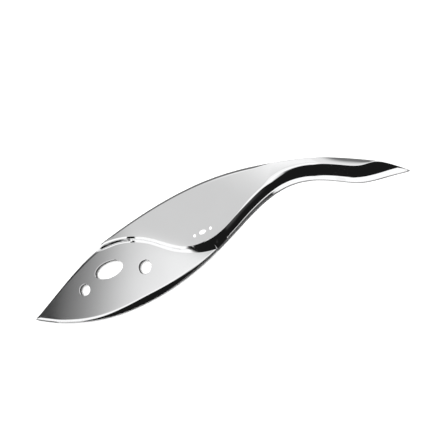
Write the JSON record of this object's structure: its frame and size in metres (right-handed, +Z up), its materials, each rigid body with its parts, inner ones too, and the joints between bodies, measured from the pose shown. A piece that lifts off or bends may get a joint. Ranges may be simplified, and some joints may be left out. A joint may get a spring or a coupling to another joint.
{
  "type": "sculpting spatula",
  "caption": "Pointed leaf-shaped steel blade with pierced holes, held in a polished S-curved metal handle with a flat back and a tapering tail.",
  "frame": {"origin": "under the middle of the tool's outline, on the surface it lies on", "axes": "+X from the blade's tip towards the tail's tip, +Z up out of the handle's flat face"},
  "size_m": [0.2246, 0.0504, 0.0062],
  "materials": {
    "handle_chrome": "mirror polished",
    "cover_satin": "satin lapped",
    "blade_steel": "fine polished",
    "pin_steel": "turned",
    "potting": "cast"
  },
  "bodies": {
    "root": {"front_shell": "handle_chrome", "back_cover": "cover_satin", "blade": "blade_steel", "tang_bond": "potting", "dowel_fore": "pin_steel", "dowel_middle": "pin_steel", "dowel_rear": "pin_steel", "neck_dowel": "pin_steel"}
  },
  "joints": []
}
